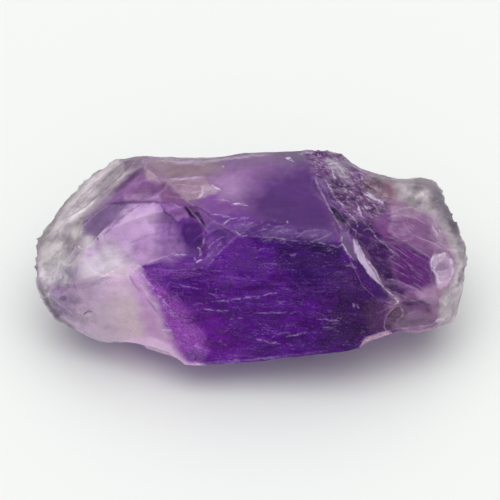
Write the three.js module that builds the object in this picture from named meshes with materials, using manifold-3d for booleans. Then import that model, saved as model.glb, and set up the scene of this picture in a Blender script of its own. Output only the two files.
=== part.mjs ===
// A rough amethyst: one broken piece of a violet quartz crystal, lying on a flat break of its own.
// It is one solid. A blank with flat faces is spanned between the stone's corners, and the
// shell-shaped breaks, chips and steps that quartz shows are cut into it.
// Millimetres, +X to the stone's right-hand end, +Y to its back, +Z up. The origin is on the table,
// under the middle of the stone.
import * as THREE from "three";
import { ConvexGeometry } from "three/addons/geometries/ConvexGeometry.js";
import { ImprovedNoise } from "three/addons/math/ImprovedNoise.js";
import { mergeVertices } from "three/addons/utils/BufferGeometryUtils.js";
import Module from "manifold-3d";

const wasm = await Module();
wasm.setup();

// Driving dimensions.
const LENGTH = 30; // left tip to right tip
const SIGHT = THREE.MathUtils.degToRad(50); // how steeply the stone is looked down on when it is measured
const MID_HEIGHT = 6; // a point at this height over the origin is the middle of that view

// The places below are in millimetres on a stone about 30 mm long. The finished stone is brought to LENGTH.

// A place on the stone as it is seen from the front and above: how far right of the middle of the view,
// how far up in the view, and how high over the table.
function seen(right, up, height) {
  const back = (up - (height - MID_HEIGHT) * Math.cos(SIGHT)) / Math.sin(SIGHT);
  return new THREE.Vector3(right, back, height);
}

// The same for a direction: right, up in the view, and out of the view towards the eye.
function facing(right, up, towards) {
  const across = new THREE.Vector3(right, 0, 0);
  const upwards = new THREE.Vector3(0, Math.sin(SIGHT), Math.cos(SIGHT)).multiplyScalar(up);
  const outwards = new THREE.Vector3(0, -Math.cos(SIGHT), Math.sin(SIGHT)).multiplyScalar(towards);
  return across.add(upwards).add(outwards).normalize();
}

// Corners of the blank, clockwise round the outline from the upper left.
const OUTLINE = [
  seen(-9.6, 6.9, 7.4),
  seen(-6.9, 7.0, 8.8),
  seen(0.3, 7.3, 9.5),
  seen(5.4, 7.5, 9.6),
  seen(5.9, 7.4, 9.5),
  seen(12.6, 5.4, 7.4),
  seen(13.1, 5.1, 6.8),
  seen(14.2, 2.5, 6.2),
  seen(14.9, 1.2, 6.0),
  seen(15.0, -0.4, 5.4),
  seen(14.7, -2.2, 4.4),
  seen(14.1, -4.5, 3.2),
  seen(13.0, -4.7, 3.0),
  seen(10.3, -5.3, 4.2),
  seen(6.8, -6.4, 3.6),
  seen(-1.0, -7.3, 2.4),
  seen(-4.1, -7.4, 2.4),
  seen(-5.3, -7.1, 2.2),
  seen(-10.0, -5.9, 1.9),
  seen(-11.5, -5.3, 2.4),
  seen(-13.6, -4.3, 3.2),
  seen(-14.5, -3.2, 3.8),
  seen(-15.0, -1.5, 4.8),
  seen(-14.8, 1.2, 5.8),
  seen(-13.6, 2.8, 6.2),
  seen(-12.1, 5.1, 6.4),
];

// Corners of the faces that show from the front and above.
const UPPER_FACE = [seen(-2.2, 2.6, 11.4), seen(3.6, 2.1, 11.35), seen(5.8, 1.7, 11.2)];
const BEVEL = [seen(-1.0, 1.5, 11.3), seen(3.4, 1.2, 10.95), seen(6.6, 0.5, 10.5)];
const FRONT_RIGHT = [seen(8.7, -2.0, 8.1), seen(10.4, -4.6, 5.0)];
const LEFT_SHOULDER = [
  seen(-7.4, 6.2, 9.5),
  seen(-10.9, 0.8, 8.8),
  seen(-13.1, -1.8, 6.5),
  seen(-8.0, -0.6, 9.6),
];
const RIGHT_SHOULDER = [
  seen(10.4, 1.5, 9.1),
  seen(12.5, 0.4, 8.0),
  seen(13.0, -2.3, 6.2),
];

// Corners of the back, of the foot of either end and of the flat break that the stone lies on.
const BACK = [
  new THREE.Vector3(-9.5, 7.4, 4.8),
  new THREE.Vector3(0.4, 7.6, 3.4),
  new THREE.Vector3(9.5, 6.8, 4.4),
  new THREE.Vector3(-6.5, 6.4, 0.8),
  new THREE.Vector3(2.5, 6.8, 0.5),
  new THREE.Vector3(9.2, 5.0, 1.1),
];
const LOW_ENDS = [new THREE.Vector3(13.3, 1.2, 0.9), new THREE.Vector3(-12.9, 2.6, 2.2)];
const UNDERSIDE = [
  new THREE.Vector3(-9.5, -1.9, 0),
  new THREE.Vector3(-3.0, -3.2, 0),
  new THREE.Vector3(5.5, -3.0, 0),
  new THREE.Vector3(10.6, -0.9, 0),
  new THREE.Vector3(9.4, 3.6, 0),
  new THREE.Vector3(2.0, 5.2, 0),
  new THREE.Vector3(-7.2, 5.4, 0),
  new THREE.Vector3(-11.0, 2.0, 0),
];

// A closed geometry as a solid that can be joined and cut.
const WELD = 1e-4; // corners closer than this are one
function solidOf(geometry) {
  const bare = geometry.clone();
  bare.deleteAttribute("normal");
  bare.deleteAttribute("uv");
  const merged = mergeVertices(bare, WELD);
  return new wasm.Manifold(
    new wasm.Mesh({
      numProp: 3,
      vertProperties: merged.attributes.position.array,
      triVerts: merged.index.array,
    }),
  );
}

// The blank: every corner spanned by flat faces.
const blankGeometry = new ConvexGeometry([
  ...OUTLINE,
  ...UPPER_FACE,
  ...BEVEL,
  ...FRONT_RIGHT,
  ...LEFT_SHOULDER,
  ...RIGHT_SHOULDER,
  ...BACK,
  ...LOW_ENDS,
  ...UNDERSIDE,
]);
const blank = new THREE.Mesh(blankGeometry);

// Where the blank's skin is, on the way from a place inside it in the direction `away`.
const FAR = 100; // a distance well outside the stone
const ray = new THREE.Raycaster();
function skin(place, away) {
  ray.set(place.clone().addScaledVector(away, FAR), away.clone().negate());
  return ray.intersectObject(blank)[0].point;
}

// The skin at a place in the view, at a place on the back and at one on the front.
const TO_THE_EYE = facing(0, 0, 1);
const TO_THE_BACK = new THREE.Vector3(0, 1, 0);
const TO_THE_FRONT = new THREE.Vector3(0, -1, 0);
function struck(right, up) {
  return skin(seen(right, up, MID_HEIGHT), TO_THE_EYE);
}
function behind(x, z) {
  return skin(new THREE.Vector3(x, 0, z), TO_THE_BACK);
}
function before(x, z) {
  return skin(new THREE.Vector3(x, 0, z), TO_THE_FRONT);
}

function direction(x, y, z) {
  return new THREE.Vector3(x, y, z).normalize();
}

// A shell-shaped break. It is cut with the end of an egg whose long axis follows `outward`: `across` and
// `along` are the half widths of its rim, `deep` is its depth and `turn` turns the rim in degrees.
// `uneven` is the height of the swells that break its outline.
const RIM_SHARE = 0.6; // how far the egg's middle stands off the surface, as a share of its end
const WIDEN = 1 / Math.sqrt(1 - RIM_SHARE * RIM_SHARE); // from the rim's half width to the egg's
const FACET = 0.85; // the size of the egg's facets
const SWELL = 2.2; // from one swell to the next
const UPWARDS = new THREE.Vector3(0, 0, 1);
const swells = new ImprovedNoise();
function shellBreak({ at, outward, across, along, deep, turn = 0, uneven = 0.3 }) {
  const end = deep / (1 - RIM_SHARE);
  const egg = new THREE.IcosahedronGeometry(1, Math.ceil((Math.max(across, along) * WIDEN) / FACET));
  egg.scale(across * WIDEN, along * WIDEN, end);
  egg.rotateZ(THREE.MathUtils.degToRad(turn));
  egg.applyQuaternion(new THREE.Quaternion().setFromUnitVectors(UPWARDS, outward));
  const middle = at.clone().addScaledVector(outward, end * RIM_SHARE);
  egg.translate(middle.x, middle.y, middle.z);
  const places = egg.attributes.position;
  for (let i = 0; i < places.count; i++) {
    const place = new THREE.Vector3().fromBufferAttribute(places, i);
    const swell = swells.noise(place.x / SWELL, place.y / SWELL, place.z / SWELL);
    place.addScaledVector(outward, uneven * swell);
    places.setXYZ(i, place.x, place.y, place.z);
  }
  return solidOf(egg);
}

// The breaks that show from the front and above, the large ones first.
const FRONT_BREAKS = [
  // The hollow at the left, in shells that meet in ridges: its floor, the side towards the rind, the
  // small face under its top, the deep side and the chips beside the front face.
  { at: struck(-7.9, 1.9), outward: facing(-0.05, 0, 1), across: 4.5, along: 2.2, deep: 0.8, turn: 18 },
  { at: struck(-10.9, 2.5), outward: facing(0, 0.15, 1), across: 3.6, along: 1, deep: 0.55, turn: 50 },
  { at: struck(-7.6, 4.9), outward: facing(-0.1, 0.3, 1), across: 1.7, along: 1, deep: 0.4, turn: 20 },
  { at: struck(-4.6, 1.6), outward: facing(-0.2, 0, 1), across: 2.1, along: 1.5, deep: 1, turn: -44 },
  { at: struck(-2.3, 1.1), outward: facing(-0.3, 0.2, 1), across: 2, along: 1, deep: 0.45, turn: 36 },
  // Long ledges in the pale rind at the left end.
  { at: struck(-12.9, 1.9), outward: facing(-0.5, 0.2, 1), across: 4.4, along: 1.2, deep: 0.4, turn: 60 },
  { at: struck(-13.4, -1.1), outward: facing(-0.7, 0, 1), across: 2.8, along: 1.4, deep: 0.4, turn: 80 },
  { at: struck(-10.4, 5.4), outward: facing(-0.1, 0.3, 1), across: 3.2, along: 0.9, deep: 0.3, turn: 42 },
  // The flake off the upper face, the dip in its far edge and the step down to the right shoulder.
  { at: struck(-4.4, 4.8), outward: facing(-0.15, 1.1, 1), across: 2.4, along: 1.1, deep: 0.25, turn: -4 },
  { at: seen(-3.9, 7.5, 9), outward: facing(0, 1, 0.1), across: 3.9, along: 2.2, deep: 0.7, uneven: 0.1 },
  { at: seen(9.2, 6.6, 8.6), outward: facing(0.3, 1, 0.15), across: 3.2, along: 3, deep: 1.1, uneven: 0.1 },
  // The shells of the right-hand end.
  { at: struck(8, 5), outward: facing(0.2, 0.3, 1), across: 4.1, along: 3, deep: 0.8, turn: -38 },
  { at: struck(7.6, 2.6), outward: facing(0.4, 0, 1), across: 5.2, along: 2, deep: 0.9, turn: -60 },
  { at: struck(12, 4), outward: facing(0.4, 0.3, 1), across: 4.2, along: 2.4, deep: 0.7, turn: -30 },
  { at: struck(11.2, 1.6), outward: facing(0.3, 0.2, 1), across: 4, along: 2.4, deep: 0.8, turn: -22 },
  { at: struck(11.2, -0.8), outward: facing(0.25, 0, 1), across: 4.6, along: 2.8, deep: 1, turn: -42 },
  { at: struck(12.4, -3.9), outward: facing(0.1, -0.4, 1), across: 2.8, along: 1.5, deep: 0.5, turn: 5 },
  { at: struck(13.8, 0.2), outward: facing(0.8, 0.1, 1), across: 2, along: 3.6, deep: 0.6 },
  // The bright sliver along the ridge between the front face and the right-hand shells.
  { at: struck(8, -0.6), outward: facing(0.1, 0.1, 1), across: 2.6, along: 0.5, deep: 0.3, turn: -55 },
  // Notches in the lower edge.
  { at: seen(-7.2, -6.6, 2), outward: facing(-0.2, -1, 0.1), across: 2.6, along: 2, deep: 0.7, uneven: 0.1 },
  { at: seen(10.2, -5.7, 3.6), outward: facing(0.2, -1, 0.1), across: 2.6, along: 2, deep: 0.6, uneven: 0.1 },
  { at: seen(8.5, -5.9, 3.8), outward: facing(0.1, -1, 0.5), across: 0.9, along: 0.6, deep: 0.3 },
  { at: seen(14.6, -3.5, 4), outward: facing(1, -0.2, 0.1), across: 1, along: 1, deep: 0.4, uneven: 0.1 },
  { at: struck(-13.3, -3.5), outward: facing(-0.9, -0.7, 1), across: 1.9, along: 1.1, deep: 0.3, turn: -30 },
];

// The breaks of the back and of the undercut sides.
const BACK_BREAKS = [
  { at: behind(-3.2, 4.6), outward: direction(-0.1, 1, 0.1), across: 6.8, along: 3.6, deep: 1.3, turn: -14 },
  { at: behind(6.8, 4), outward: direction(0.2, 1, 0), across: 4.6, along: 3.4, deep: 1, turn: 28 },
  { at: behind(-10.6, 3.4), outward: direction(-0.8, 1, -0.4), across: 3.6, along: 2.8, deep: 0.7, turn: 40 },
  { at: behind(2, 2.4), outward: direction(0, 1, -0.2), across: 3.4, along: 2.2, deep: 0.6, turn: 50 },
  { at: behind(12.2, 3.6), outward: direction(1, 1, -0.6), across: 2.8, along: 2, deep: 0.6, turn: -30 },
  { at: before(1.6, 1), outward: direction(0.1, -1, -0.7), across: 5.4, along: 1.4, deep: 0.5, turn: -5 },
  { at: before(-8.6, 1.2), outward: direction(-0.5, -1, -0.6), across: 2.8, along: 1.3, deep: 0.5, turn: 12 },
  { at: before(9.2, 2), outward: direction(0.5, -1, -0.6), across: 3.2, along: 1.6, deep: 0.5, turn: 8 },
];

// The nibbled edge of the pale rind: bites of these radii, one after the other along a line of places.
const BITE_SIZES = [0.42, 0.3, 0.5, 0.36];
const BITE_SPACING = 0.72;
const BITE_DETAIL = 1; // how often a bite's twenty faces are split
const LEFT_RIND = [seen(-15.1, -1, 5), seen(-14.9, 1.3, 5.8), seen(-12.1, 5.2, 6.4), seen(-9.7, 7, 7.4)];
const RIGHT_RIND = [seen(13.2, 5, 6.8), seen(15, 1, 6), seen(15, -1.6, 4.8)];
function rindBites(line) {
  const edge = new THREE.CatmullRomCurve3(line);
  const count = Math.round(edge.getLength() / BITE_SPACING);
  const bites = [];
  for (let i = 0; i <= count; i++) {
    const bite = new THREE.IcosahedronGeometry(BITE_SIZES[i % BITE_SIZES.length], BITE_DETAIL);
    const place = edge.getPointAt(i / count);
    bites.push(solidOf(bite.translate(place.x, place.y, place.z)));
  }
  return bites;
}

let stone = solidOf(blankGeometry);
for (const shape of [...FRONT_BREAKS, ...BACK_BREAKS]) stone = stone.subtract(shellBreak(shape));
for (const bite of [...rindBites(LEFT_RIND), ...rindBites(RIGHT_RIND)]) stone = stone.subtract(bite);

// The solid's own mesh as a geometry, brought to the stone's length, centred and set on the table.
function geometryOf(solid) {
  const { numProp, vertProperties, triVerts } = solid.getMesh();
  const places = new Float32Array((vertProperties.length / numProp) * 3);
  for (let i = 0; i < places.length / 3; i++) {
    places.set(vertProperties.subarray(i * numProp, i * numProp + 3), i * 3);
  }
  const geometry = new THREE.BufferGeometry();
  geometry.setAttribute("position", new THREE.BufferAttribute(places, 3));
  geometry.setIndex(new THREE.BufferAttribute(new Uint32Array(triVerts), 1));
  geometry.computeBoundingBox();
  const scale = LENGTH / (geometry.boundingBox.max.x - geometry.boundingBox.min.x);
  geometry.scale(scale, scale, scale);
  geometry.computeBoundingBox();
  const middle = geometry.boundingBox.getCenter(new THREE.Vector3());
  geometry.translate(-middle.x, -middle.y, -geometry.boundingBox.min.z);
  geometry.computeVertexNormals();
  return geometry;
}

const violetQuartz = new THREE.MeshStandardMaterial({
  color: 0x6b3f97,
  roughness: 0.18,
  metalness: 0,
  transparent: true,
  opacity: 0.8,
});

const amethyst = new THREE.Mesh(geometryOf(stone), violetQuartz);
amethyst.name = "amethyst";

const roughAmethyst = new THREE.Group();
roughAmethyst.add(amethyst);
export default roughAmethyst;
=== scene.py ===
# A rough amethyst on a pale table, looked down on as in the photograph.
import math

import bpy
import numpy as np
from mathutils import Matrix, Vector, noise


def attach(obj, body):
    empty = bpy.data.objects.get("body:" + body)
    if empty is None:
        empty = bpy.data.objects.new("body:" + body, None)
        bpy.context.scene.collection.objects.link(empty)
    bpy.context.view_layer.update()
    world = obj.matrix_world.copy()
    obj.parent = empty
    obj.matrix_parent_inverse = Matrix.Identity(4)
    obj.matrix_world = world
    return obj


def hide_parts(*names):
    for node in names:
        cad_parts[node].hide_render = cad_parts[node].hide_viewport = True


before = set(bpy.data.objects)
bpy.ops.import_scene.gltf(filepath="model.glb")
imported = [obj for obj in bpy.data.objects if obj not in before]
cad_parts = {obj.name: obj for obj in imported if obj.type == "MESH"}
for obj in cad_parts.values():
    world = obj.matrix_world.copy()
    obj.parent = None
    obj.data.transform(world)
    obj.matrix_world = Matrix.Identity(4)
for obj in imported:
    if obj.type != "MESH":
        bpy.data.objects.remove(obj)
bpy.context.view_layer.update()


# The stone: one broken piece of violet quartz. It split off a crystal in shell-shaped breaks, and its two
# ends keep some of the pale, grainy rind of the rock that it grew in. It lies on a flat break of its own.
MM = 0.001
SIGHT = math.radians(50)  # how steeply the photograph looks down
TO_THE_RIGHT = Vector((1, 0, 0))
UP_THE_VIEW = Vector((0, math.sin(SIGHT), math.cos(SIGHT)))
TO_THE_EYE = Vector((0, -math.cos(SIGHT), math.sin(SIGHT)))

# Places on the stone are given by the pixels of the photograph, right and down from its upper left corner.
PX_PER_MM = 14.267
MIDDLE_PX = (251, 257)  # the middle of the stone as the photograph shows it
VIEW_MIDDLE = 3.46  # mm up the view from the origin to that middle
PICTURE_PX = 500  # across the photograph
EYE_DISTANCE = 389  # mm from the eye to the stone, so that what is nearer shows a little larger

# The washes of colour, each over the ones before it: its corners, how soft its edge is in pixels, its colour
# in the numbers of a picture, and how milky the quartz is there, from 0, clear, to 1. Some washes are painted
# light and shade: painted sheen, glow and highlights, faces painted lighter where they turn to the lamp, and
# painted shade in the hollows, the pit and under the bevel.
WASHES = {
    "middle": (
        [(96, 190), (130, 145), (330, 140), (348, 250), (300, 245), (236, 238), (206, 268), (150, 266),
         (80, 270)],
        8, (140, 98, 154), 0.8,
    ),
    "right end": (
        [(344, 160), (480, 160), (480, 340), (396, 340), (396, 312), (380, 284), (352, 240), (330, 200)],
        10, (170, 132, 166), 0.8,
    ),
    "left rind": (
        [(26, 240), (62, 196), (75, 180), (100, 160), (115, 150), (142, 150), (143, 167), (124, 181),
         (107, 197), (90, 216), (80, 234), (66, 262), (60, 272), (26, 270)],
        8, (186, 176, 180), 0.85,
    ),
    "cream ledge": (
        [(92, 176), (110, 162), (122, 162), (108, 176), (92, 192), (80, 200)],
        8, (222, 208, 216), 0.85,
    ),
    "pale streak": ([(70, 212), (92, 200), (97, 202), (80, 216), (68, 224)], 4, (234, 226, 228), 0.85),
    "grey top": ([(112, 150), (142, 150), (143, 166), (128, 172)], 6, (124, 104, 124), 0.85),
    "speckled rind": (
        [(48, 232), (66, 224), (98, 236), (96, 262), (60, 272), (40, 262)],
        12, (226, 220, 220), 0.75,
    ),
    "rind patch": ([(66, 238), (82, 236), (84, 262), (74, 268), (64, 260)], 9, (172, 158, 168), 0.75),
    "low left end": (
        [(26, 262), (62, 268), (76, 290), (98, 318), (80, 336), (44, 322), (26, 290)],
        8, (230, 222, 228), 0.75,
    ),
    # Painted shade: the dusk streak and the dusk band are walls of the hollow that face away from the light.
    "dusk streak": (
        [(143, 165), (146, 171), (126, 186), (112, 196), (106, 197), (118, 184)],
        3, (108, 66, 120), 0.7,
    ),
    "dusk band": (
        [(108, 203), (140, 203), (132, 210), (124, 217), (114, 227), (104, 237), (95, 240), (86, 234),
         (84, 224), (94, 212)],
        8, (138, 110, 154), 0.8,
    ),
    "dusk join": (
        [(118, 184), (110, 198), (98, 207), (86, 218), (78, 224), (84, 213), (97, 200), (108, 188)],
        5, (158, 140, 158), 0.85,
    ),
    "mauve face": ([(145, 169), (161, 184), (163, 199), (120, 198), (129, 186)], 3, (150, 104, 158), 0.8),
    "its apex": ([(144, 168), (150, 169), (160, 182), (148, 181)], 5, (192, 164, 180), 0.85),
    "its foot": ([(118, 199), (132, 193), (160, 195), (162, 200), (140, 200)], 3, (172, 134, 180), 0.85),
    "strip right of it": (
        [(162, 182), (170, 180), (206, 222), (196, 226), (180, 206), (162, 203)],
        4, (132, 86, 130), 0.8,
    ),
    # Painted light: the milky floor of the hollow, painted lighter still where it faces up to the light.
    "hollow floor": (
        [(136, 204), (160, 203), (167, 222), (172, 238), (166, 258), (150, 264), (132, 272), (98, 284),
         (72, 284), (84, 254), (98, 240), (113, 226), (126, 212)],
        6, (204, 162, 216), 0.78,
    ),
    "its light end": (
        [(76, 262), (104, 238), (128, 240), (130, 270), (100, 284), (72, 284)],
        20, (226, 214, 227), 0.8,
    ),
    "its light top": (
        [(124, 212), (156, 206), (160, 232), (132, 242), (106, 240)],
        12, (220, 188, 228), 0.8,
    ),
    # Painted shade: the hollow's right wall, which faces away from the light.
    "hollow deep": (
        [(164, 204), (184, 205), (205, 229), (207, 262), (170, 264), (172, 238)],
        12, (112, 54, 150), 0.75,
    ),
    "under the hollow": (
        [(148, 267), (162, 259), (170, 254), (190, 254), (208, 258), (206, 268), (160, 271)],
        4, (102, 46, 142), 0.85,
    ),
    "light facet": ([(164, 205), (182, 206), (190, 217), (178, 221), (168, 214)], 2, (166, 114, 184), 0.8),
    # Painted shade, deepest in the hollow's wall.
    "darkest": (
        [(182, 223), (192, 221), (201, 223), (204, 230), (202, 242), (194, 250), (184, 248), (178, 238)],
        5, (84, 34, 122), 0.95,
    ),
    # Painted light, easing the step from the hollow's lit floor to its shaded wall.
    "grey veil": (
        [(158, 206), (172, 216), (178, 232), (184, 252), (172, 262), (156, 263), (157, 236)],
        10, (162, 118, 184), 0.8,
    ),
    "chip face": (
        [(205, 228), (237, 234), (228, 245), (215, 258), (206, 266), (200, 262), (204, 240)],
        3, (116, 46, 160), 0.75,
    ),
    "dark chip": ([(206, 221), (219, 222), (236, 234), (224, 241), (212, 234)], 3, (72, 16, 124), 0.97),
    "upper haze": (
        [(140, 150), (230, 148), (222, 176), (212, 178), (160, 180), (146, 168)],
        18, (156, 132, 150), 0.8,
    ),
    "brown haze": ([(166, 163), (200, 163), (206, 174), (172, 178)], 8, (150, 126, 138), 0.8),
    "flake": (
        [(163, 180), (176, 178), (203, 177), (212, 184), (206, 196), (196, 199), (186, 202), (176, 192)],
        4, (168, 138, 160), 0.8,
    ),
    "flake tip": (
        [(200, 186), (207, 184), (214, 186), (221, 190), (214, 193), (206, 196), (199, 199), (196, 198),
         (202, 192)],
        2, (190, 164, 184), 0.9,
    ),
    "left flank": (
        [(206, 196), (228, 192), (250, 202), (258, 216), (236, 234), (205, 226), (196, 208)],
        14, (134, 84, 160), 0.8,
    ),
    "far strip": (
        [(200, 146), (330, 144), (318, 162), (285, 168), (225, 168)],
        14, (126, 112, 134), 0.8,
    ),
    # Painted highlight along the far edge of the upper face.
    "far rim": (
        [(156, 161), (200, 159), (240, 155), (272, 153), (262, 155), (240, 158), (205, 163), (180, 163)],
        3, (176, 158, 174), 0.85,
    ),
    # Painted sheen: bright lilac where the upper face catches the light, fading to dark at its right.
    "upper lilac": (
        [(225, 166), (262, 158), (286, 170), (276, 196), (250, 204), (226, 192)],
        24, (154, 114, 168), 0.8,
    ),
    # Painted sheen, brightest here.
    "lilac glow": ([(216, 180), (236, 176), (248, 188), (240, 200), (222, 200)], 14, (174, 138, 184), 0.8),
    # The dark end of the painted sheen.
    "upper dark": (
        [(280, 168), (318, 160), (324, 181), (330, 192), (338, 211), (350, 236), (300, 240), (262, 232),
         (246, 214), (248, 194), (262, 176)],
        30, (88, 48, 117), 0.85,
    ),
    "left bevel": (
        [(206, 214), (236, 215), (252, 216), (264, 222), (244, 229), (236, 235), (222, 224)],
        6, (112, 58, 150), 0.8,
    ),
    "bevel": (
        [(236, 236), (244, 229), (262, 222), (276, 222), (300, 228), (332, 230), (340, 242), (347, 254),
         (320, 250), (300, 246), (270, 243), (250, 241)],
        5, (84, 26, 122), 0.85,
    ),
    "bevel plates": (
        [(302, 231), (312, 229), (332, 231), (338, 242), (320, 242), (301, 240)],
        3, (108, 78, 136), 0.85,
    ),
    "bevel chips": (
        [(266, 231), (276, 226), (296, 228), (300, 236), (288, 239), (268, 237)],
        4, (106, 68, 138), 0.85,
    ),
    "front": (
        [(238, 236), (270, 240), (300, 242), (342, 249), (352, 257), (366, 274), (376, 285), (388, 295),
         (399, 318), (396, 336), (340, 352), (300, 358), (215, 366), (190, 366), (160, 300), (140, 266),
         (200, 269), (206, 266), (228, 245)],
        2, (90, 20, 138), 0.85,
    ),
    # Painted shade: the top of the front face under the bevel.
    "front dusk": (
        [(258, 238), (300, 241), (344, 249), (356, 264), (346, 286), (318, 290), (290, 284), (280, 262)],
        16, (54, 14, 98), 0.93,
    ),
    # Painted shade right under the bevel's edge.
    "under bevel": (
        [(286, 241), (316, 244), (343, 250), (340, 258), (310, 252)],
        5, (42, 18, 78), 0.97,
    ),
    # Painted glow: light that comes through the stone, shown in the front face.
    "glow": ([(236, 250), (262, 246), (276, 262), (262, 280), (240, 274)], 16, (80, 18, 134), 0.8),
    # Painted glow, low in the front face.
    "low glow": (
        [(176, 300), (200, 300), (230, 330), (250, 356), (200, 362), (186, 340)],
        24, (112, 24, 156), 0.8,
    ),
    "plum right": (
        [(338, 264), (356, 259), (366, 273), (378, 287), (390, 298), (397, 318), (396, 332), (350, 348),
         (318, 348), (322, 320), (334, 300)],
        18, (66, 28, 96), 0.93,
    ),
    "tip of the front": (
        [(140, 266), (168, 268), (196, 269), (186, 276), (150, 276)],
        6, (116, 54, 154), 0.85,
    ),
    "brown corner": (
        [(364, 308), (380, 298), (397, 300), (405, 312), (404, 328), (394, 337), (372, 332)],
        8, (90, 54, 104), 0.85,
    ),
    "lower left": (
        [(54, 285), (72, 284), (90, 281), (100, 278), (112, 272), (120, 268), (132, 265), (140, 266),
         (162, 304), (196, 364), (150, 356), (112, 352), (74, 334), (60, 304)],
        3, (232, 208, 232), 0.7,
    ),
    "cream band": (
        [(104, 276), (126, 268), (140, 300), (146, 340), (128, 344), (108, 310)],
        16, (236, 210, 226), 0.75,
    ),
    "pink band": (
        [(130, 268), (142, 276), (160, 310), (166, 340), (148, 342), (138, 300)],
        10, (228, 180, 232), 0.75,
    ),
    "violet patch": ([(68, 284), (84, 276), (96, 290), (92, 318), (74, 312)], 10, (216, 190, 214), 0.7),
    "low dusk": ([(46, 286), (72, 282), (78, 300), (72, 318), (56, 314)], 10, (166, 142, 174), 0.8),
    "low corner": ([(146, 342), (172, 338), (190, 346), (196, 364), (170, 358)], 6, (228, 172, 234), 0.7),
    # Painted light: the rim along the bottom edge faces down into shade, and is painted pale pink as if lit
    # through.
    "lower rim": (
        [(108, 344), (120, 340), (144, 337), (158, 340), (176, 347), (196, 360), (214, 368), (204, 376),
         (150, 362), (110, 352)],
        3, (242, 206, 244), 0.85,
    ),
    "frosted left": (
        [(140, 271), (154, 280), (178, 300), (198, 328), (207, 352), (190, 363), (178, 352), (168, 334),
         (158, 306)],
        9, (160, 76, 190), 0.8,
    ),
    "corner facet": ([(182, 352), (196, 349), (208, 353), (204, 361), (190, 363)], 3, (140, 78, 174), 0.85),
    "crumbled shoulder": (
        [(303, 148), (330, 146), (352, 160), (366, 176), (390, 196), (384, 212), (366, 224), (346, 216),
         (330, 196), (317, 176)],
        4, (108, 46, 122), 0.8,
    ),
    "pale crumbs": ([(326, 156), (340, 156), (354, 168), (348, 178), (332, 178)], 5, (138, 114, 144), 0.85),
    "ledge": (
        [(317, 174), (326, 179), (336, 199), (345, 211), (352, 220), (343, 222), (333, 208), (322, 193)],
        3, (108, 56, 138), 0.8,
    ),
    # Painted shade in the pit.
    "pit": (
        [(330, 205), (337, 209), (345, 215), (349, 219), (344, 224), (337, 220), (332, 213)],
        3, (22, 6, 50), 0.97,
    ),
    "mauve shell": (
        [(390, 216), (399, 209), (413, 206), (430, 216), (442, 232), (444, 250), (430, 256), (412, 247),
         (395, 239)],
        6, (146, 102, 150), 0.8,
    ),
    "its light band": (
        [(389, 212), (399, 207), (413, 205), (428, 213), (420, 218), (402, 216), (391, 220)],
        5, (166, 134, 164), 0.85,
    ),
    "its right edge": (
        [(424, 214), (436, 220), (444, 236), (446, 250), (438, 248), (430, 234)],
        6, (166, 138, 166), 0.85,
    ),
    "left of the shell": (
        [(364, 220), (376, 208), (388, 208), (392, 215), (390, 230), (396, 242), (384, 242), (370, 230)],
        4, (118, 64, 126), 0.85,
    ),
    "right dark": (
        [(344, 226), (352, 219), (372, 222), (388, 240), (398, 256), (392, 262), (400, 292), (384, 282),
         (366, 254), (352, 238)],
        6, (70, 16, 96), 0.97,
    ),
    # Painted shade in the small hollow beside the pit.
    "dark hollow": ([(352, 221), (368, 221), (374, 236), (362, 240), (352, 232)], 4, (64, 16, 92), 0.97),
    "striae": (
        [(391, 240), (412, 248), (432, 256), (436, 284), (420, 292), (398, 284), (391, 262)],
        8, (96, 20, 114), 0.8,
    ),
    "crescent": (
        [(382, 279), (394, 281), (412, 287), (430, 300), (436, 306), (424, 304), (406, 294), (390, 286)],
        4, (130, 84, 144), 0.8,
    ),
    "brown hollows": (
        [(400, 294), (414, 296), (430, 304), (432, 312), (410, 312), (402, 306)],
        5, (118, 80, 118), 0.8,
    ),
    "pale foot": ([(412, 292), (430, 293), (440, 299), (437, 308), (424, 302)], 5, (178, 146, 178), 0.8),
    # Painted shade below the sliver.
    "below the sliver": (
        [(382, 284), (396, 284), (408, 290), (404, 297), (392, 294)],
        4, (66, 16, 88), 0.95,
    ),
    # Painted light, lifting the shade in the hollow of the neck.
    "neck": (
        [(386, 305), (396, 301), (405, 312), (402, 321), (394, 331), (386, 328)],
        4, (122, 90, 122), 0.9,
    ),
    "low right face": (
        [(394, 325), (404, 317), (412, 312), (436, 313), (438, 326), (398, 330)],
        4, (152, 126, 152), 0.8,
    ),
    "right rind": (
        [(373, 170), (425, 172), (440, 186), (452, 204), (464, 230), (474, 262), (470, 280), (458, 330),
         (438, 330), (440, 298), (453, 276), (455, 262), (445, 236), (436, 220), (418, 210), (402, 202),
         (386, 195), (376, 182)],
        6, (170, 160, 164), 0.85,
    ),
    "its pale patch": ([(406, 188), (424, 190), (426, 198), (410, 198)], 6, (216, 208, 210), 0.95),
    # Painted shade: the dark edge along the right rind's outline.
    "its dark edge": (
        [(428, 188), (440, 191), (450, 208), (461, 230), (457, 238), (446, 226), (436, 216)],
        7, (128, 118, 128), 0.9,
    ),
    "brown stain": (
        [(364, 181), (378, 178), (392, 182), (397, 194), (390, 202), (376, 198), (366, 191)],
        9, (122, 84, 98), 0.85,
    ),
    "low right rind": (
        [(458, 236), (470, 256), (468, 280), (456, 304), (454, 328), (438, 326), (442, 298), (454, 276),
         (455, 262), (450, 244)],
        5, (204, 194, 200), 0.85,
    ),
    "pale chip": (
        [(430, 263), (434, 256), (447, 253), (452, 264), (453, 272), (448, 282), (441, 289), (437, 286),
         (436, 278), (432, 270)],
        3, (208, 180, 208), 0.85,
    ),
    "chip shade": ([(436, 265), (446, 262), (449, 269), (441, 272), (435, 270)], 3, (174, 146, 180), 0.9),
    "blade": (
        [(341, 232), (347, 232), (351, 240), (356, 250), (357, 261), (350, 257), (344, 248)],
        2, (128, 100, 150), 0.8,
    ),
    # Painted highlight: the sliver is a narrow facet that catches the light.
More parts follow.
